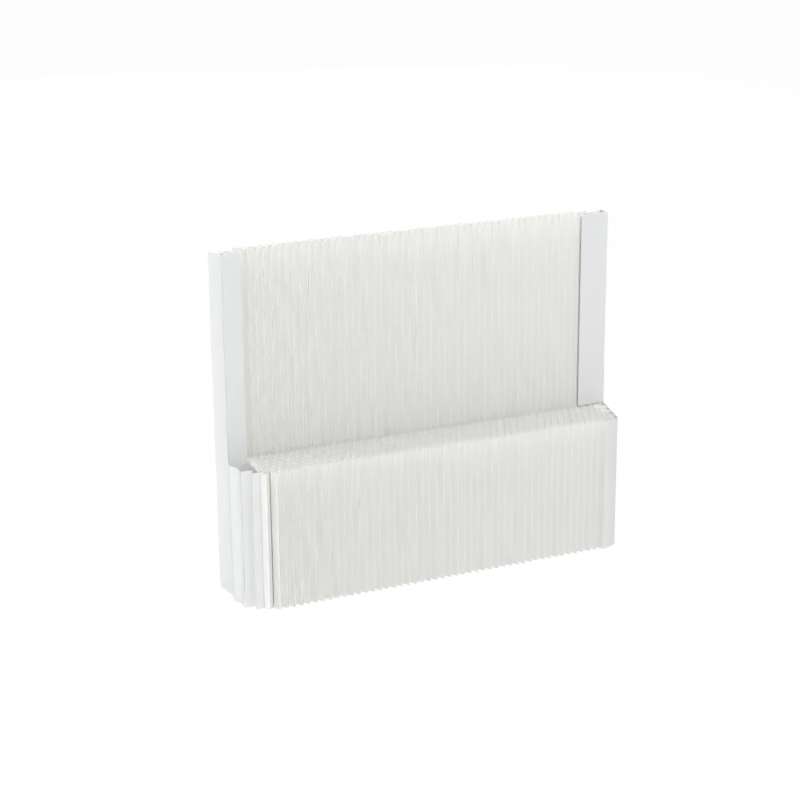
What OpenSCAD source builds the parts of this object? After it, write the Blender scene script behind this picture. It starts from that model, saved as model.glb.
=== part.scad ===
// Pleated paper screen: a free-standing honeycomb of L-shaped paper leaves that
// draws out along its length. Each leaf is full depth up to the step and only the
// depth of the back wall above it. The origin is on the floor, under the middle.

/* [Overall size] */

// Height of the back wall above the floor, in mm
wall_h = 1840; // [1200:10:2200]
// Height of the low front step above the floor, in mm
step_h = 750; // [400:10:1000]
// Depth of the back wall, front to back, in mm
wall_depth = 120; // [90:5:200]
// Depth of the step in front of the back wall, in mm
step_depth = 300; // [200:5:400]

/* [Pleats] */

// Distance from one front ridge to the next when drawn out, in mm
ridge_pitch = 40.5; // [24:0.5:46]
// Number of leaf blocks, each with two front ridges
block_count = 24; // [10:1:24]
// Width of the glued line where two leaves meet, in mm
glue_land = 8; // [4:0.5:14]

/* [Paper] */

// Thickness of a leaf, in mm
sheet_t = 0.4; // [0.3:0.05:0.8]
// Thickness of the end sheets and front strips, in mm
board_t = 1.2; // [0.8:0.1:2]

/* [Left end] */

// Distance from the first straight ridge to the back left corner, in mm
left_w = 188; // [180:1:200]
// How far the fold at the wall's front left edge is drawn in, in mm
left_tuck = 26; // [20:1:32]
// How much shorter the leaning pair beside the first ridge is than the others, in mm
left_setback = 15; // [8:1:24]
// How far that pair leans to the left at its front edge, in mm
left_lean = 11; // [4:1:18]
// How far the end has bowed forward at its deepest fold, in mm
left_bow = 25; // [16:1:28]
// Distance from the first straight ridge to the free edge of the smooth strip, in mm
left_strip_edge = 56; // [50:1:64]

/* [Right end] */

// Distance from the last ridge to the front right corner of the step, in mm
right_w = 96.5; // [88:0.5:106]
// How far that corner lies behind the front line, in mm
right_setback = 33; // [26:1:40]
// Distance from the last ridge to the right end of the back wall, in mm
right_wall_w = 154; // [144:1:170]
// Width of the smooth strip across the front of the wall, in mm
right_strip_w = 162; // [130:1:180]

/* [Hidden] */

// Strips of each leaf between glued lines: three in the wall, seven in the step
wall_strips = 3;
step_strips = 7;
levels = wall_strips + step_strips;
// The end sheet folds in wider strips than the leaves: two in the wall, five in the step
wall_folds = 2;
step_folds = 5;
depth = wall_depth + step_depth;
glue_gap = 0.1;
clear = 0.4;
past = 5;

ridges = 2 * block_count;
run = (ridges - 1) * ridge_pitch;
left_x = -left_w;
right_x = run + right_wall_w;
mid_x = (left_x + right_x) / 2;

paper_white = [0.90, 0.90, 0.89];
board_white = [0.94, 0.95, 0.95];

function block_name(i) = str("leaf_block_", i < 10 ? "0" : "", i);

// Distance from the back of line k, with so many strips in the wall and in the step
function spaced(k, in_wall, in_step) = k <= in_wall
    ? k * wall_depth / in_wall
    : wall_depth + (k - in_wall) * step_depth / in_step;

// Glued lines of the leaves, from line 0 at the back edge, and folds of the end sheet
function line_at(k) = spaced(k, wall_strips, step_strips);
function fold_at(k) = spaced(k, wall_folds, step_folds);

// True on the lines where the two leaves of a front ridge meet: the front edge, and
// every second line behind it
function at_ridge(k) = (levels - k) % 2 == 0;

// Point x along the length, counted from the first straight ridge, and a from the back
function spot(x, a) = [x - mid_x, depth / 2 - a];

function unit(v) = v / norm(v);
function normal(v) = [-v[1], v[0]];

// Mitre direction at vertex i of an open path, scaled so that both walls keep their
// distance from it
function mitre(path, i) =
    let (
        last = len(path) - 1,
        before = unit(path[max(i, 1)] - path[max(i, 1) - 1]),
        after = unit(path[min(i, last - 1) + 1] - path[min(i, last - 1)]),
        n1 = normal(before),
        n2 = normal(after)
    )
    (n1 + n2) / (1 + n1 * n2);

// Outline of a folded sheet of thickness t whose middle follows the path
function band(path, t) = concat(
    [for (i = [0 : len(path) - 1]) path[i] + mitre(path, i) * t / 2],
    [for (i = [len(path) - 1 : -1 : 0]) path[i] - mitre(path, i) * t / 2]
);

// Sideways place of a leaf at glued line k. It meets its partner at the ridge, and on
// the lines between the leaf of the next ridge, half a pitch away.
glued = sheet_t + glue_gap;
function swing(k) = at_ridge(k) ? glued / 2 : (ridge_pitch - glued) / 2;
function leaf_x(ridge, side, k) = ridge + side * swing(k);

// A leaf's plan: flat on each glued line and slanting from one to the next
function leaf_path(xs, reach) = [
    for (k = [0 : levels], e = [-1, 1])
        spot(xs[k], min(max(line_at(k) + e * glue_land / 2, 0), depth) * reach)
];

function straight_leaf(ridge, side) =
    leaf_path([for (k = [0 : levels]) leaf_x(ridge, side, k)], 1);

module leaf_prism(path, t) {
    linear_extrude(height = wall_h)
        polygon(band(path, t));
}

// What is cut away above the step, between two places along the length
module step_cut(from_x, to_x, wall_front = wall_depth) {
    corner = spot(from_x, depth + past);
    translate([corner[0], corner[1], step_h])
        cube([to_x - from_x, depth + past - wall_front, wall_h]);
}

// Two ridges: four leaves, glued two and two
module leaf_block(i) {
    first = (2 * i - 2) * ridge_pitch;
    color(paper_white)
        difference() {
            for (ridge = [first, first + ridge_pitch], side = [-1, 1])
                leaf_prism(straight_leaf(ridge, side), sheet_t);
            step_cut(first - ridge_pitch, first + 2 * ridge_pitch);
        }
}

// ---- Left end ----

// The pair beside the first block leans to the left towards the front
left_reach = 1 - left_setback / depth;
function left_pair_x(k) = -ridge_pitch - left_lean * pow(line_at(k) / depth, 2);

left_outer_xs = [for (k = [0 : levels]) left_pair_x(k) - swing(k)];
left_inner_xs = [
    for (k = [0 : levels])
        at_ridge(k) ? left_pair_x(k) + swing(k) : leaf_x(0, -1, k) - glued
];

module left_leaf_pair() {
    color(paper_white)
        difference() {
            for (xs = [left_outer_xs, left_inner_xs])
                leaf_prism(leaf_path(xs, left_reach), sheet_t);
            step_cut(-left_w, ridge_pitch);
        }
}

// Folds of the end sheet, from the back corner to its front ridge: how far each is
// drawn in from the corner, and how far forward of its glued line the end has bowed
fold_in = left_tuck * [0, 0.6, 1, 0.3, 1.25, 1.15];
fold_bow = left_bow * [0.4, 0.4, 0.6, 1, 0.6, 0.48];
left_end_path = [
    for (k = [0 : len(fold_in) - 1])
        spot(-left_w + board_t / 2 + fold_in[k], fold_at(k) + fold_bow[k])
];
left_wall_front = wall_depth + fold_bow[wall_folds];

module left_end_sheet() {
    color(board_white)
        difference() {
            leaf_prism(left_end_path, board_t);
            step_cut(left_x - past, 0, left_wall_front);
        }
}

// Accordion folds that carry the front of the step round to the end sheet
last_fold = len(fold_in) - 1;
corner_join = left_outer_xs[levels - 1] - glued;
left_corner_path = [
    spot(-left_w + fold_in[last_fold] + board_t + clear + sheet_t,
        fold_at(last_fold) + fold_bow[last_fold]),
    spot(-left_w * 0.53, fold_at(last_fold) + step_depth * 0.05),
    spot(-left_w * 0.585, fold_at(last_fold + 1)),
    spot(corner_join, line_at(levels - 1) * left_reach - glue_land / 2),
    spot(corner_join, line_at(levels - 1) * left_reach + glue_land / 2)
];

module left_corner_fold() {
    color(paper_white)
        linear_extrude(height = step_h)
            polygon(band(left_corner_path, sheet_t));
}

// The last cell of the wall stands wide open: two leaves between the end sheet and the
// first pair, glued to each other on the end sheet's middle fold
cell_near = [left_outer_xs[0] - glued, left_outer_xs[wall_strips] - glued];
cell_mid = -left_w * 0.6;
cell_far = -left_w + left_tuck + board_t + 2 * clear;
cell_front_a = wall_depth - 2 * clear;

function cell_path(end_xs, middle_x) = [
    spot(end_xs[0], 0),
    spot(end_xs[0], glue_land / 2 - clear),
    spot(middle_x, fold_at(1) - glue_land / 2),
    spot(middle_x, fold_at(1) + glue_land / 2),
    spot(end_xs[1], cell_front_a - glue_land / 2),
    spot(end_xs[1], cell_front_a)
];

module left_cell_leaves() {
    color(paper_white)
        union() {
            leaf_prism(cell_path(cell_near, cell_mid + glued / 2), sheet_t);
            leaf_prism(cell_path([cell_far, cell_far], cell_mid - glued / 2), sheet_t);
        }
}

// Smooth strip across the front of the wall, from the end sheet to its free edge. It
// is narrower below the step, where the leaves of the first pair pass in front.
strip_a = wall_depth + clear + board_t / 2;
left_strip_from = [-left_w + left_tuck + board_t + clear, left_wall_front - board_t / 2];
left_strip_to = [-left_strip_edge, strip_a];
low_strip_x = left_outer_xs[wall_strips] - 2 * clear - sheet_t;
low_share = (low_strip_x - left_strip_from[0]) / (left_strip_to[0] - left_strip_from[0]);
low_strip_to = left_strip_from + low_share * (left_strip_to - left_strip_from);

module strip(from, to, from_z, to_z) {
    translate([0, 0, from_z])
        linear_extrude(height = to_z - from_z)
            polygon(band([spot(from[0], from[1]), spot(to[0], to[1])], board_t));
}

module left_front_strip() {
    color(board_white)
        union() {
            strip(left_strip_from, left_strip_to, step_h + clear, wall_h);
            strip(left_strip_from, low_strip_to, 0, step_h + clear);
        }
}

// ---- Right end ----

// Two more pairs close the right end behind its end sheet: the first is as wide as the
// others, and the second stands wide open between it and the end sheet
right_reach = [0.965, 0.9];
right_ridge = [run + ridge_pitch, run + right_w - ridge_pitch * 0.4];

// The inner face of the end sheet, at a distance a from the back
function right_face_x(a) = right_x - board_t - 2 * clear - sheet_t
    - (right_wall_w - right_w) * max(a - wall_depth, 0) / (depth - right_setback - wall_depth);

right_near_xs = [for (k = [0 : levels]) leaf_x(right_ridge[0], -1, k)];
right_next_xs = [for (k = [0 : levels]) leaf_x(right_ridge[0], 1, k)];
right_third_xs = [
    for (k = [0 : levels])
        at_ridge(k) ? leaf_x(right_ridge[1], -1, k) : right_next_xs[k] + glued
];
right_last_xs = [
    for (k = [0 : levels])
        at_ridge(k)
            ? leaf_x(right_ridge[1], 1, k)
            : right_face_x(line_at(k) * right_reach[1])
];

module right_pair(near_xs, far_xs, reach) {
    color(paper_white)
        difference() {
            for (xs = [near_xs, far_xs])
                leaf_prism(leaf_path(xs, reach), sheet_t);
            step_cut(run - ridge_pitch, right_x + past);
        }
}

module right_leaf_pair_1() {
    right_pair(right_near_xs, right_next_xs, right_reach[0]);
}

module right_leaf_pair_2() {
    right_pair(right_third_xs, right_last_xs, right_reach[1]);
}

// End sheet: back corner, wall front, step corner and the panel that closes the front
right_end_path = [
    spot(right_x - board_t / 2, 0),
    spot(right_x - board_t / 2, wall_depth),
    spot(run + right_w - board_t / 2, depth - right_setback),
    spot(run + ridge_pitch / 2 + glue_land / 2, depth - board_t)
];

module right_end_sheet() {
    color(board_white)
        difference() {
            leaf_prism(right_end_path, board_t);
            step_cut(run - ridge_pitch, right_x + past);
        }
}

module right_front_strip() {
    color(board_white)
        strip([right_x - right_strip_w, strip_a], [right_x, strip_a], step_h + clear, wall_h);
}

// ---- Parts ----

for (i = [1 : block_count])
    leaf_block(i);
left_end_sheet();
left_front_strip();
left_corner_fold();
left_cell_leaves();
left_leaf_pair();
right_leaf_pair_1();
right_leaf_pair_2();
right_end_sheet();
right_front_strip();
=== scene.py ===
import math
import random

import bmesh
import bpy
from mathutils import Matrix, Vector


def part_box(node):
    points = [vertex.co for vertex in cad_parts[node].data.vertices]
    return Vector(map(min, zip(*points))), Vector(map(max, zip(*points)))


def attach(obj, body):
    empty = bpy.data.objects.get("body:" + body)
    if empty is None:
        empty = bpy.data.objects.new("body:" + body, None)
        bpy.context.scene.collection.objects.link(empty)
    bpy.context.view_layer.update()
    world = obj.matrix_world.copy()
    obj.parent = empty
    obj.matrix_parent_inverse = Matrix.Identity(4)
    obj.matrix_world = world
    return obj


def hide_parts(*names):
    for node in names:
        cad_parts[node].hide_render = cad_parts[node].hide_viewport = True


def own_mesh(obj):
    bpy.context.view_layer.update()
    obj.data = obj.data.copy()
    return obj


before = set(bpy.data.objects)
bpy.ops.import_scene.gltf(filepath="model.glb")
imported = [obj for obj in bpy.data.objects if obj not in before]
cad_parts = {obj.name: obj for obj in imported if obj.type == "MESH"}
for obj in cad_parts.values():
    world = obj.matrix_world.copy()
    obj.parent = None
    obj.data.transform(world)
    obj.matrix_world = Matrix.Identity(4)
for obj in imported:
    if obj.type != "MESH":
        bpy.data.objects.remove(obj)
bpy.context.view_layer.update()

# ---- Sizes, in metres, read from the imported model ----

BLOCKS = sorted(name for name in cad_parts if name.startswith("leaf_block_"))
FIRST_LOW, FIRST_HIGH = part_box(BLOCKS[0])
SECOND_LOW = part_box(BLOCKS[1])[0]
PITCH = (SECOND_LOW.x - FIRST_LOW.x) / 2
WALL_TOP = FIRST_HIGH.z
STEP_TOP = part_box("left_corner_fold")[1].z
BACK_Y = FIRST_HIGH.y
FRONT_Y = FIRST_LOW.y
DEPTH = BACK_Y - FRONT_Y

# Place of the first straight ridge and of the last one
RIDGE_X = FIRST_LOW.x + PITCH / 2
RUN = (2 * len(BLOCKS) - 1) * PITCH

# ---- Sizes of the folded paper, in metres ----

WALL_DEPTH = 0.120
WALL_STRIPS = 3
STEP_STRIPS = 7
LEVELS = WALL_STRIPS + STEP_STRIPS
WALL_FOLDS = 2
STEP_FOLDS = 5
GLUE_LAND = 0.008
SHEET_T = 0.0004
BOARD_T = 0.0012
GLUE_GAP = 0.0001
GLUED = SHEET_T + GLUE_GAP
CLEAR = 0.0004

# Height of the band along the top of a sheet that passes less light through and takes the painted
# highlight tint
RIM = 0.009

# The front of the left pair of leaves takes the greyer facing colour, this deep
LEFT_FACED = 0.06

# Steps along one slanting strip of a leaf, and the share of its swing that is an S-bend
LEAF_STEPS = 5
STRIP_BEND = 0.2

# Rounding of the folds, the points on each, and the most of a strip that one may take
BOARD_BEND = 0.005
CORNER_BEND = 0.003
CELL_BEND = 0.002
BEND_POINTS = 5
BEND_REACH = 0.45

# Two points of a path that are closer than this are one
SAME = 1e-6

# Edges sharper than this are shaded as folds
SHARP = math.radians(40)

# Place of a sheet in the paper's pattern: a step for each sheet of its piece, and by chance
# anything up to the spread
SHEET_STEP = 3.0
SHEET_SPREAD = 40

# Heights of the rings of points in the step and in the wall above it
STEP_RINGS = 9
WALL_RINGS = 12
HEIGHTS = [STEP_TOP * k / STEP_RINGS for k in range(STEP_RINGS)] + [
    STEP_TOP + (WALL_TOP - STEP_TOP) * k / WALL_RINGS for k in range(WALL_RINGS + 1)
]


# ---- Small unevenness that every sheet shares, so that glued sheets stay together ----

FULL_TURN = 2 * math.pi
SEED = 11
WAVE_COUNT = 7

# Shortest and longest wave: along the length in ridges, then up and front to back in metres
WAVE_RIDGES = (1.6, 5.5)
WAVE_UP = (0.5, 1.9)
WAVE_DEEP = (0.15, 0.5)

# How far one wave carries the paper, along the length and front to back
SWAY_X = 0.0004
SWAY_Y = 0.0008

rng = random.Random(SEED)
WAVES = [
    {
        "across": FULL_TURN / (PITCH * rng.uniform(*WAVE_RIDGES)),
        "up": FULL_TURN / rng.uniform(*WAVE_UP),
        "deep": FULL_TURN / rng.uniform(*WAVE_DEEP),
        "phase": rng.uniform(0, FULL_TURN),
        "shift": rng.uniform(0, FULL_TURN),
    }
    for _ in range(WAVE_COUNT)
]

# Where the blocks meet the two ends. The ends keep their shape when the blocks are pressed
# together, so the paper is straight for some ridges about these seams and eases in after them.
SEAMS = (RIDGE_X - PITCH / 2, RIDGE_X + RUN + PITCH / 2)
STRAIGHT_RIDGES = 1.6
EASE_RIDGES = 2


def seam_share(x):
    """Share of the unevenness at a place along the length: none near a seam."""
    away = min(abs(x - seam) for seam in SEAMS) / PITCH
    return min(max(away - STRAIGHT_RIDGES, 0) / EASE_RIDGES, 1)


def sway(x, y, z):
    """How far the paper has wandered from its ruled place, sideways and front to back."""
    dx = dy = 0
    for w in WAVES:
        angle = w["across"] * x + w["up"] * z + w["deep"] * y + w["phase"]
        dx += math.sin(angle)
        dy += math.sin(angle + w["shift"] + w["up"] * z)
    share = seam_share(x)
    return share * SWAY_X * dx, share * SWAY_Y * dy


# ---- Plan paths: x along the length from the first straight ridge, a from the back ----


def spot(x, a):
    """A point of a path in the frame's plan."""
    return Vector((RIDGE_X + x, BACK_Y - a))


def spaced(k, in_wall, in_step):
    """Distance from the back of line k, with so many strips in the wall and in the step."""
    if k <= in_wall:
        return k * WALL_DEPTH / in_wall
    return WALL_DEPTH + (k - in_wall) * (DEPTH - WALL_DEPTH) / in_step


def line_at(k):
    """Glued line k of the leaves."""
    return spaced(k, WALL_STRIPS, STEP_STRIPS)


def fold_at(k):
    """Fold k of the end sheet, which folds in wider strips."""
    return spaced(k, WALL_FOLDS, STEP_FOLDS)


def at_ridge(k):
    """True where the two leaves of a front ridge meet: the front edge and every second line."""
    return (LEVELS - k) % 2 == 0


def leaf_x(ridge, side, k):
    """Where line k of a ridge's left (-1) or right (1) leaf lies along the length."""
    return ridge + side * (GLUED if at_ridge(k) else PITCH - GLUED) / 2


def swing(t):
    """Share of the way across a strip: part straight, part an S-bend."""
    return (1 - STRIP_BEND) * t + STRIP_BEND * t * t * (3 - 2 * t)


def leaf_path(xs, reach=1.0):
    """(x, a, glue) along a leaf from the back: glue is 1 on a glued line and 0 between them."""
    path = []
    for k in range(LEVELS + 1):
        if k > 0:
            start, end = line_at(k - 1) + GLUE_LAND / 2, line_at(k) - GLUE_LAND / 2
            for i in range(1, LEAF_STEPS):
                t = i / LEAF_STEPS
                x = xs[k - 1] + (xs[k] - xs[k - 1]) * swing(t)
                path.append((x, (start + (end - start) * t) * reach, 0))
        for e in (-1, 0, 1):
            a = min(max(line_at(k) + e * GLUE_LAND / 2, 0), DEPTH)
            if not path or a * reach > path[-1][1] + SAME:
                path.append((xs[k], a * reach, 1))
    return path


def bent_path(points, radius):
    """(x, a, glue) along a folded board, with each fold rounded to about the radius."""
    path = [(*points[0], 0)]
    for before, here, after in zip(points, points[1:], points[2:]):
        p, q, r = Vector(before), Vector(here), Vector(after)
        near = q + (p - q).normalized() * min(radius, (p - q).length * BEND_REACH)
        far = q + (r - q).normalized() * min(radius, (r - q).length * BEND_REACH)
        for i in range(BEND_POINTS):
            t = i / (BEND_POINTS - 1)
            v = near * (1 - t) ** 2 + q * 2 * t * (1 - t) + far * t**2
            path.append((v.x, v.y, 0))
    path.append((*points[-1], 0))
    return path


# ---- Sheets that stand on a path ----


def side_normals(points):
    """Mitre normals of an open path, scaled so that both skins keep their distance."""
    result = []
    for i in range(len(points)):
        before = (points[max(i, 1)] - points[max(i, 1) - 1]).normalized()
        j = min(i, len(points) - 2)
        after = (points[j + 1] - points[j]).normalized()
        n1, n2 = Vector((-before.y, before.x)), Vector((-after.y, after.x))
        result.append((n1 + n2) / (1 + n1.dot(n2)))
    return result


def add_sheet(bm, path, thickness, cut_a=None, offset=0.0, heights=HEIGHTS):
    """A closed sheet on the path; in front of cut_a it is only as high as the step."""
    glue_layer = bm.verts.layers.float["glue"]
    below_layer = bm.verts.layers.float["below"]
    uv_layer = bm.loops.layers.uv["sheet"]
    points = [spot(x, a) for x, a, _ in path]
    normals = side_normals(points)
    lengths = [0.0]
    for p, q in zip(points, points[1:]):
        lengths.append(lengths[-1] + (q - p).length)

    tall = len(heights) - 1
    tops = []
    for (_, a0, _), (_, a1, _) in zip(path, path[1:]):
        low = cut_a is not None and (a0 + a1) / 2 > cut_a
        tops.append(STEP_RINGS if low else tall)

    skins = []
    for side in (-1, 1):
        skin = {}
        for j, p in enumerate(points):
            reach = max(tops[max(j - 1, 0)], tops[min(j, len(tops) - 1)])
            for k in range(reach + 1):
                z = heights[k]
                dx, dy = sway(p.x, p.y, z)
                v = p + normals[j] * side * thickness / 2
                vert = bm.verts.new((v.x + dx, v.y + dy, z))
                vert[glue_layer] = path[j][2]
                vert[below_layer] = heights[reach] - z
                skin[j, k] = vert
        skins.append(skin)
    near, far = skins
    where = {}
    for skin in skins:
        for (j, k), vert in skin.items():
            where[vert] = (lengths[j] + offset, heights[k])

    def face(*verts):
        made = bm.faces.new(verts)
        made.smooth = True
        for loop in made.loops:
            loop[uv_layer].uv = where[loop.vert]

    for j, top in enumerate(tops):
        for k in range(top):
            face(near[j, k], near[j + 1, k], near[j + 1, k + 1], near[j, k + 1])
            face(far[j, k], far[j, k + 1], far[j + 1, k + 1], far[j + 1, k])
        face(near[j, 0], far[j, 0], far[j + 1, 0], near[j + 1, 0])
        face(near[j, top], near[j + 1, top], far[j + 1, top], far[j, top])
    edges = [(0, 0, tops[0])]
    for j in range(1, len(tops)):
        if tops[j] != tops[j - 1]:
            edges.append((j, min(tops[j], tops[j - 1]), max(tops[j], tops[j - 1])))
    edges.append((len(tops), 0, tops[-1]))
    for j, low, high in edges:
        for k in range(low, high):
            face(near[j, k], near[j, k + 1], far[j, k + 1], far[j, k])


def piece(name, node, body, material, sheets, faced=0.0):
    """One object made of sheets, in place of its CAD node, with its front faced that deep."""
    bm = bmesh.new()
    bm.verts.layers.float.new("glue")
    bm.verts.layers.float.new("below")
    bm.loops.layers.uv.new("sheet")
    for index, sheet in enumerate(sheets):
        add_sheet(bm, offset=SHEET_STEP * index + rng.uniform(0, SHEET_SPREAD), **sheet)
    bmesh.ops.recalc_face_normals(bm, faces=bm.faces)
    mesh = bpy.data.meshes.new(name)
    bm.to_mesh(mesh)
    bm.free()
    mesh.set_sharp_from_angle(angle=SHARP)
    mesh.materials.append(material)
    if faced:
        mesh.materials.append(FACING_AND_PAINTED_LIGHT)
        for polygon in mesh.polygons:
            if polygon.center.y < FRONT_Y + faced:
                polygon.material_index = 1
    obj = bpy.data.objects.new(name, mesh)
    bpy.context.scene.collection.objects.link(obj)
    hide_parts(node)
    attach(obj, body)
    return obj


# ---- Materials ----

PAPER_SPECULAR = 0.25
ROUGHNESS_SPREAD = 0.06
GRAIN_STRENGTH = 0.5

# Clouds in the paper, and fibres, which take this share of the tone
CLOUD_SCALE = 5.0
CLOUD_DETAIL = 4.0
FIBRE_DETAIL = 6.0
FIBRE_ROUGHNESS = 0.7
FIBRE_STRETCH = 0.3
FIBRE_SHARE = 0.35

# Levels of the noise at which the tone is all shade and all base
TONE_SPAN = (0.3, 0.7)

# On glued lines and the band along a sheet's top: the share of the painted highlight tint, and of
# the light that still comes through
HIGHLIGHT_SHARE = 0.6
DENSE_THROUGH = 0.38


def node_tree(name):
    material = bpy.data.materials.new(name)
    material.use_nodes = True
    return material, material.node_tree.nodes, material.node_tree.links


def noise(nodes, scale, detail):
    made = nodes.new("ShaderNodeTexNoise")
    made.inputs["Scale"].default_value = scale
    made.inputs["Detail"].default_value = detail
    return made


def map_range(nodes, to_min, to_max):
    made = nodes.new("ShaderNodeMapRange")
    made.inputs["To Min"].default_value = to_min
    made.inputs["To Max"].default_value = to_max
    return made


def math_node(nodes, operation):
    made = nodes.new("ShaderNodeMath")
    made.operation = operation
    return made


def fibre_noise(nodes, links, uv, fibre):
    """Fine fibres, drawn out up the sheet."""
    stretch = nodes.new("ShaderNodeMapping")
    stretch.inputs["Scale"].default_value = (fibre, fibre * FIBRE_STRETCH, 1.0)
    links.new(uv.outputs["UV"], stretch.inputs["Vector"])
    fibres = noise(nodes, 1.0, FIBRE_DETAIL)
    fibres.inputs["Roughness"].default_value = FIBRE_ROUGHNESS
    links.new(stretch.outputs["Vector"], fibres.inputs["Vector"])
    return fibres


def paper_tone(nodes, links, uv, fibres, base, shade):
    """Clouds and fibres between two tones."""
    cloud = noise(nodes, CLOUD_SCALE, CLOUD_DETAIL)
    links.new(uv.outputs["UV"], cloud.inputs["Vector"])

    blend = nodes.new("ShaderNodeMix")
    blend.data_type = "FLOAT"
    blend.inputs["Factor"].default_value = FIBRE_SHARE
    links.new(cloud.outputs["Fac"], blend.inputs["A"])
    links.new(fibres.outputs["Fac"], blend.inputs["B"])

    tone = nodes.new("ShaderNodeValToRGB")
    for end, position, colour in zip(tone.color_ramp.elements, TONE_SPAN, (shade, base)):
        end.position = position
        end.color = (*colour, 1)
    links.new(blend.outputs["Result"], tone.inputs["Fac"])
    return tone


def density_and_highlight(nodes, links):
    """1 on a glued line and in the band along a sheet's top, and 0 between them: there the paper
    passes less light and takes the painted highlight tint.
    """
    glue = nodes.new("ShaderNodeAttribute")
    glue.attribute_name = "glue"
    below = nodes.new("ShaderNodeAttribute")
    below.attribute_name = "below"
    rim = map_range(nodes, 1.0, 0.0)
    rim.inputs["From Max"].default_value = RIM
    links.new(below.outputs["Fac"], rim.inputs["Value"])
    dense_and_highlight = math_node(nodes, "MAXIMUM")
    links.new(glue.outputs["Fac"], dense_and_highlight.inputs[0])
    links.new(rim.outputs["Result"], dense_and_highlight.inputs[1])
    return dense_and_highlight


def paper(name, base, shade, highlight_tint, roughness, fibre, grain_depth, light_through):
    """Uncoated paper: cloudy tone, fine fibres, and glued lines and a top band that pass less light
    and take a lighter tint, a painted highlight.
    """
    material, nodes, links = node_tree(name)
    shader = nodes["Principled BSDF"]
    shader.inputs["Specular IOR Level"].default_value = PAPER_SPECULAR

    uv = nodes.new("ShaderNodeUVMap")
    uv.uv_map = "sheet"
    fibres = fibre_noise(nodes, links, uv, fibre)
    tone = paper_tone(nodes, links, uv, fibres, base, shade)
    dense_and_highlight = density_and_highlight(nodes, links)

    # Painted highlight: the lighter tint is mixed in on the glued lines and along the top of each
    # sheet
    tint = nodes.new("ShaderNodeMix")
    tint.data_type = "RGBA"
    tint.inputs["B"].default_value = (*highlight_tint, 1)
    amount = math_node(nodes, "MULTIPLY")
    amount.inputs[1].default_value = HIGHLIGHT_SHARE
    links.new(dense_and_highlight.outputs["Value"], amount.inputs[0])
    links.new(amount.outputs["Value"], tint.inputs["Factor"])
    links.new(tone.outputs["Color"], tint.inputs["A"])
    links.new(tint.outputs["Result"], shader.inputs["Base Color"])

    rough = map_range(nodes, roughness - ROUGHNESS_SPREAD, roughness + ROUGHNESS_SPREAD)
    links.new(fibres.outputs["Fac"], rough.inputs["Value"])
    links.new(rough.outputs["Result"], shader.inputs["Roughness"])

    bump = nodes.new("ShaderNodeBump")
    bump.inputs["Strength"].default_value = GRAIN_STRENGTH
    bump.inputs["Distance"].default_value = grain_depth
    links.new(fibres.outputs["Fac"], bump.inputs["Height"])
    links.new(bump.outputs["Normal"], shader.inputs["Normal"])

    through = nodes.new("ShaderNodeBsdfTranslucent")
    links.new(tint.outputs["Result"], through.inputs["Color"])
    sheer = nodes.new("ShaderNodeMixShader")
    passed = map_range(nodes, light_through, light_through * DENSE_THROUGH)
    links.new(dense_and_highlight.outputs["Value"], passed.inputs["Value"])
    links.new(passed.outputs["Result"], sheer.inputs["Fac"])
    links.new(shader.outputs["BSDF"], sheer.inputs[1])
    links.new(through.outputs["BSDF"], sheer.inputs[2])
    links.new(sheer.outputs["Shader"], nodes["Material Output"].inputs["Surface"])
    return material


LEAF = paper(
    "leaf_paper",
    base=(0.966, 0.965, 0.953),
    shade=(0.95, 0.949, 0.936),
    # Painted highlight: lighter than the paper on the glued lines, where the grooves are in shade,
    # and along the lit tops of the sheets
    highlight_tint=(0.99, 0.99, 0.984),
    roughness=0.88,
    fibre=900.0,
    grain_depth=0.00006,
    light_through=0.4,
)
BOARD = paper(
    "end_board",
    base=(0.8, 0.807, 0.812),
    shade=(0.78, 0.787, 0.792),
    highlight_tint=(0.8, 0.807, 0.812),
    roughness=0.72,
    fibre=500.0,
    grain_depth=0.00004,
    light_through=0.1,
)
# Lighter than the end board; on the right end sheet this is painted light that lifts the shade on
# its inner side among the leaves
FACING_AND_PAINTED_LIGHT = paper(
    "end_facing_and_painted_light",
    base=(0.88, 0.88, 0.866),
    shade=(0.86, 0.86, 0.846),
    highlight_tint=(0.88, 0.88, 0.866),
    roughness=0.85,
    fibre=900.0,
    grain_depth=0.00005,
    light_through=0.2,
)


# ---- The leaf blocks: two ridges each, of four leaves ----


def straight_xs(ridge, side):
    """Places of all the lines of one leaf of a straight ridge."""
    return [leaf_x(ridge, side, k) for k in range(LEVELS + 1)]


def leaf(xs, reach=1.0):
    """An L-shaped leaf through these places of its lines."""
    return {
        "path": leaf_path(xs, reach),
        "thickness": SHEET_T,
        "cut_a": WALL_DEPTH,
    }


for index, node in enumerate(BLOCKS):
    first = 2 * index * PITCH
    ridges = (first, first + PITCH)
    block = piece(
        f"pleats_{index + 1:02d}",
        node,
        f"block_{index + 1:02d}",
        LEAF,
        [leaf(straight_xs(ridge, side)) for ridge in ridges for side in (-1, 1)],
    )
    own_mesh(block)

# ---- Left end ----

LEFT_W = 0.188
LEFT_TUCK = 0.026
LEFT_SETBACK = 0.015
LEFT_LEAN = 0.011
LEFT_BOW = 0.025
LEFT_STRIP_EDGE = 0.056
LEFT_REACH = 1 - LEFT_SETBACK / DEPTH

# How far each fold of the end sheet lies inside the end, as shares of LEFT_TUCK, and in front
# of its even place, as shares of LEFT_BOW
FOLD_TUCKS = (0, 0.6, 1, 0.3, 1.25, 1.15)
FOLD_BOWS = (0.4, 0.4, 0.6, 1, 0.6, 0.48)

# The corner's folds, as shares of the end's width and of the step's depth
CORNER_INNER = 0.53
CORNER_OUTER = 0.585
CORNER_RISE = 0.05

# Where the two leaves of the open cell meet, as a share of the end's width
CELL_MIDDLE = 0.6


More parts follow.
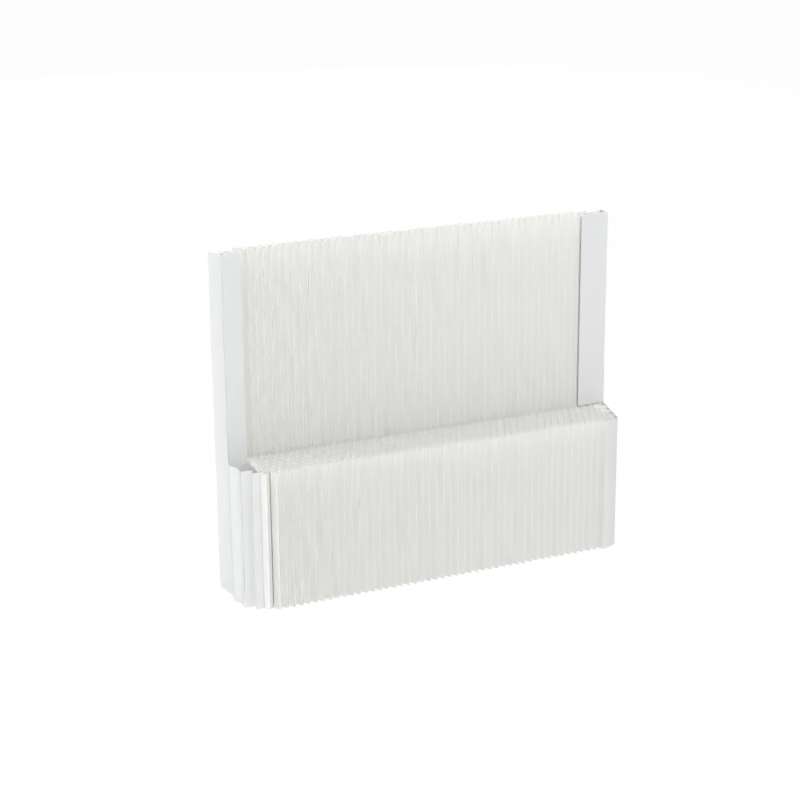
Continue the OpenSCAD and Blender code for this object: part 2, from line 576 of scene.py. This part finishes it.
def left_pair_x(k):
    """The left pair's ridge, which leans further to the left the nearer it is to the front."""
    return -PITCH - LEFT_LEAN * (line_at(k) / DEPTH) ** 2


left_outer = [leaf_x(left_pair_x(k), -1, k) for k in range(LEVELS + 1)]
left_inner = [
    leaf_x(left_pair_x(k), 1, k) if at_ridge(k) else leaf_x(0, -1, k) - GLUED
    for k in range(LEVELS + 1)
]
piece(
    "pleats_left",
    "left_leaf_pair",
    "left_end",
    LEAF,
    [leaf(left_outer, LEFT_REACH), leaf(left_inner, LEFT_REACH)],
    faced=LEFT_FACED,
)

fold_in = [LEFT_TUCK * share for share in FOLD_TUCKS]
fold_bow = [LEFT_BOW * share for share in FOLD_BOWS]
last_fold = len(fold_in) - 1
left_end_folds = [
    (-LEFT_W + BOARD_T / 2 + tuck, fold_at(k) + bow)
    for k, (tuck, bow) in enumerate(zip(fold_in, fold_bow))
]
left_wall_front = WALL_DEPTH + fold_bow[WALL_FOLDS]
piece(
    "folded_end_left",
    "left_end_sheet",
    "left_end",
    BOARD,
    [
        {
            "path": bent_path(left_end_folds, BOARD_BEND),
            "thickness": BOARD_T,
            "cut_a": left_wall_front,
        }
    ],
)

corner_join = left_outer[LEVELS - 1] - GLUED
join_a = line_at(LEVELS - 1) * LEFT_REACH
corner_folds = [
    (-LEFT_W + fold_in[-1] + BOARD_T + CLEAR + SHEET_T, fold_at(last_fold) + fold_bow[-1]),
    (-LEFT_W * CORNER_INNER, fold_at(last_fold) + (DEPTH - WALL_DEPTH) * CORNER_RISE),
    (-LEFT_W * CORNER_OUTER, fold_at(last_fold + 1)),
    (corner_join, join_a - GLUE_LAND / 2),
    (corner_join, join_a + GLUE_LAND / 2),
]
piece(
    "folded_corner_left",
    "left_corner_fold",
    "left_end",
    BOARD,
    [
        {
            "path": bent_path(corner_folds, CORNER_BEND),
            "thickness": SHEET_T,
            "heights": HEIGHTS[: STEP_RINGS + 1],
        }
    ],
)

cell_front = WALL_DEPTH - 2 * CLEAR
cell_far = -LEFT_W + LEFT_TUCK + BOARD_T + 2 * CLEAR
cell_mid = -LEFT_W * CELL_MIDDLE


def cell_path(end_xs, middle_x):
    """One leaf of the open cell, from the back over the middle to the wall's front."""
    return bent_path(
        [
            (end_xs[0], 0),
            (end_xs[0], GLUE_LAND / 2 - CLEAR),
            (middle_x, fold_at(1) - GLUE_LAND / 2),
            (middle_x, fold_at(1) + GLUE_LAND / 2),
            (end_xs[1], cell_front - GLUE_LAND / 2),
            (end_xs[1], cell_front),
        ],
        CELL_BEND,
    )


cell_near = (left_outer[0] - GLUED, left_outer[WALL_STRIPS] - GLUED)
piece(
    "open_cell_left",
    "left_cell_leaves",
    "left_end",
    LEAF,
    [
        {"path": cell_path(cell_near, cell_mid + GLUED / 2), "thickness": SHEET_T},
        {"path": cell_path((cell_far, cell_far), cell_mid - GLUED / 2), "thickness": SHEET_T},
    ],
)

# ---- Right end ----

RIGHT_W = 0.0965
RIGHT_SETBACK = 0.033
RIGHT_WALL_W = 0.154
RIGHT_REACH = (0.965, 0.9)

# How far the outer ridge lies inside the end's width, in ridges
RIGHT_TUCK = 0.4

# The end sheet's front lies flat beside the last straight ridge, from a bend to its free edge,
# at these distances from the ridge
COVER_BEND = 0.016
COVER_EDGE = 0.001

right_end = RUN + RIGHT_WALL_W
right_ridge = (RUN + PITCH, RUN + RIGHT_W - PITCH * RIGHT_TUCK)


def right_face_x(a):
    """Where a leaf lies along the end sheet's inner face, at a distance a from the back."""
    lean = (RIGHT_WALL_W - RIGHT_W) / (DEPTH - RIGHT_SETBACK - WALL_DEPTH)
    return right_end - BOARD_T - 2 * CLEAR - SHEET_T - lean * max(a - WALL_DEPTH, 0)


right_near = straight_xs(right_ridge[0], -1)
right_next = straight_xs(right_ridge[0], 1)
right_third = [
    leaf_x(right_ridge[1], -1, k) if at_ridge(k) else right_next[k] + GLUED
    for k in range(LEVELS + 1)
]
right_last = [
    leaf_x(right_ridge[1], 1, k) if at_ridge(k) else right_face_x(line_at(k) * RIGHT_REACH[1])
    for k in range(LEVELS + 1)
]
for name, node, pair, reach in (
    ("pleats_right_1", "right_leaf_pair_1", (right_near, right_next), RIGHT_REACH[0]),
    ("pleats_right_2", "right_leaf_pair_2", (right_third, right_last), RIGHT_REACH[1]),
):
    piece(name, node, "right_end", LEAF, [leaf(xs, reach) for xs in pair])

right_end_folds = [
    (right_end - BOARD_T / 2, 0),
    (right_end - BOARD_T / 2, WALL_DEPTH),
    (RUN + RIGHT_W - BOARD_T / 2, DEPTH - RIGHT_SETBACK),
    (RUN + COVER_BEND, DEPTH + BOARD_T),
    (RUN + COVER_EDGE, DEPTH + BOARD_T),
]
# Painted light: the lighter facing colour lifts the shade on this sheet's inner side, which lies
# deep among the leaves
piece(
    "folded_end_right",
    "right_end_sheet",
    "right_end",
    FACING_AND_PAINTED_LIGHT,
    [
        {
            "path": bent_path(right_end_folds, BOARD_BEND),
            "thickness": BOARD_T,
            "cut_a": WALL_DEPTH,
        }
    ],
)

# ---- Smooth strips across the front of the wall ----

STRIP_STEPS = 12


def straight_path(start, end):
    """(x, a, glue) along a flat strip."""
    p, q = Vector(start), Vector(end)
    return [(*(p + (q - p) * i / STRIP_STEPS), 0) for i in range(STRIP_STEPS + 1)]


strip_a = WALL_DEPTH + CLEAR + BOARD_T / 2
above_step = [z + CLEAR if z == STEP_TOP else z for z in HEIGHTS[STEP_RINGS:]]
below_step = HEIGHTS[:STEP_RINGS] + [STEP_TOP + CLEAR]

left_from = Vector((-LEFT_W + LEFT_TUCK + BOARD_T + CLEAR, left_wall_front - BOARD_T / 2))
left_to = Vector((-LEFT_STRIP_EDGE, strip_a))
low_x = left_outer[WALL_STRIPS] - 2 * CLEAR - SHEET_T
left_low = left_from + (left_to - left_from) * (low_x - left_from.x) / (left_to.x - left_from.x)
piece(
    "smooth_strip_left",
    "left_front_strip",
    "left_end",
    BOARD,
    [
        {"path": straight_path(left_from, left_to), "thickness": BOARD_T, "heights": above_step},
        {"path": straight_path(left_from, left_low), "thickness": BOARD_T, "heights": below_step},
    ],
)

right_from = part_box("right_front_strip")[0].x - RIDGE_X
piece(
    "smooth_strip_right",
    "right_front_strip",
    "right_end",
    BOARD,
    [
        {
            "path": straight_path((right_from, strip_a), (right_end, strip_a)),
            "thickness": BOARD_T,
            "heights": above_step,
        }
    ],
)

# ---- Floor, light and camera ----

FLOOR_GREY = 0.8
FLOOR_ROUGHNESS = 0.9
FLOOR_HALF = 60.0
FLOOR_DROP = 0.0005

# Share of the floor's look that is plain white to the camera; the rest shows the shadow
FLOOR_WHITE = 0.98


def white_floor():
    """A pale floor that looks white from the camera and still takes the object's shadow."""
    material, nodes, links = node_tree("floor")
    shader = nodes["Principled BSDF"]
    shader.inputs["Base Color"].default_value = (FLOOR_GREY, FLOOR_GREY, FLOOR_GREY, 1)
    shader.inputs["Roughness"].default_value = FLOOR_ROUGHNESS
    glow = nodes.new("ShaderNodeEmission")
    path = nodes.new("ShaderNodeLightPath")
    mix = nodes.new("ShaderNodeMixShader")
    share = math_node(nodes, "MULTIPLY")
    share.inputs[1].default_value = FLOOR_WHITE
    links.new(path.outputs["Is Camera Ray"], share.inputs[0])
    links.new(share.outputs["Value"], mix.inputs["Fac"])
    links.new(shader.outputs["BSDF"], mix.inputs[1])
    links.new(glow.outputs["Emission"], mix.inputs[2])
    links.new(mix.outputs["Shader"], nodes["Material Output"].inputs["Surface"])

    mesh = bpy.data.meshes.new("floor")
    corners = [(FLOOR_HALF * x, FLOOR_HALF * y, 0) for x, y in ((-1, -1), (1, -1), (1, 1), (-1, 1))]
    mesh.from_pydata(corners, [], [(0, 1, 2, 3)])
    mesh.materials.append(material)
    floor = bpy.data.objects.new("floor", mesh)
    floor.location.z = -FLOOR_DROP
    bpy.context.scene.collection.objects.link(floor)


def white_world(strength):
    """Even light from all round; the camera and reflections see plain white."""
    world = bpy.data.worlds.new("studio")
    world.use_nodes = True
    nodes, links = world.node_tree.nodes, world.node_tree.links
    background = nodes["Background"]
    background.inputs["Color"].default_value = (1, 1, 1, 1)
    path = nodes.new("ShaderNodeLightPath")
    seen = math_node(nodes, "MAXIMUM")
    clear = math_node(nodes, "MAXIMUM")
    links.new(path.outputs["Is Camera Ray"], seen.inputs[0])
    links.new(path.outputs["Is Glossy Ray"], seen.inputs[1])
    links.new(seen.outputs["Value"], clear.inputs[0])
    links.new(path.outputs["Is Transmission Ray"], clear.inputs[1])
    level = map_range(nodes, strength, 1.0)
    links.new(clear.outputs["Value"], level.inputs["Value"])
    links.new(level.outputs["Result"], background.inputs["Strength"])
    bpy.context.scene.world = world


def softbox(name, place, size, power, target):
    """A square area lamp that faces its target."""
    lamp = bpy.data.lights.new(name, "AREA")
    lamp.shape = "SQUARE"
    lamp.size = size
    lamp.energy = power
    obj = bpy.data.objects.new(name, lamp)
    obj.location = place
    obj.rotation_euler = (Vector(target) - Vector(place)).to_track_quat("-Z", "Y").to_euler()
    bpy.context.scene.collection.objects.link(obj)


WORLD_STRENGTH = 0.13
MIDDLE = (0, 0, 0.8)
LEFT_END = (-0.9, 0, 0.8)
RIGHT_END = (0.9, 0, 0.8)
OVER_STEP = (0, -0.2, 0.8)

white_floor()
white_world(WORLD_STRENGTH)
softbox("front", place=(-9.0, -25.5, 16.7), size=9.0, power=4440, target=MIDDLE)
softbox("fill", place=(9.75, -24.75, 14.0), size=9.0, power=1630, target=MIDDLE)
softbox("left", place=(-9.0, 2.2, 1.9), size=2.5, power=238, target=LEFT_END)
softbox("rim", place=(-9.0, -0.9, 1.9), size=2.0, power=118, target=LEFT_END)
softbox("right", place=(10.0, -1.0, 3.0), size=2.5, power=75, target=RIGHT_END)
softbox("back", place=(5.0, 17.0, 2.0), size=3.4, power=2000, target=MIDDLE)
softbox("top", place=(0.0, -1.0, 8.0), size=3.0, power=250, target=OVER_STEP)

# White paper passes light on many times before it fades
DIFFUSE_BOUNCES = 12
bpy.context.scene.cycles.diffuse_bounces = DIFFUSE_BOUNCES

CAMERA_AT = (-4.006, -8.828, 4.181)
CAMERA_YAW = math.radians(25.20)
CAMERA_PITCH = math.radians(17.25)
PHOTO_WIDTH = 800
FOCAL_PX = 1921.5
SHIFT_PX = (53.1, -40.0)
SENSOR = 36.0
CLIP_END = 200

camera = bpy.data.cameras.new("camera")
camera.sensor_width = SENSOR
camera.lens = FOCAL_PX * SENSOR / PHOTO_WIDTH
camera.shift_x = -SHIFT_PX[0] / PHOTO_WIDTH
camera.shift_y = SHIFT_PX[1] / PHOTO_WIDTH
camera.clip_end = CLIP_END
view = bpy.data.objects.new("camera", camera)
view.location = CAMERA_AT
view.rotation_euler = (math.pi / 2 - CAMERA_PITCH, 0, -CAMERA_YAW)
bpy.context.scene.collection.objects.link(view)
bpy.context.scene.camera = view
bpy.context.scene.view_settings.view_transform = "Standard"
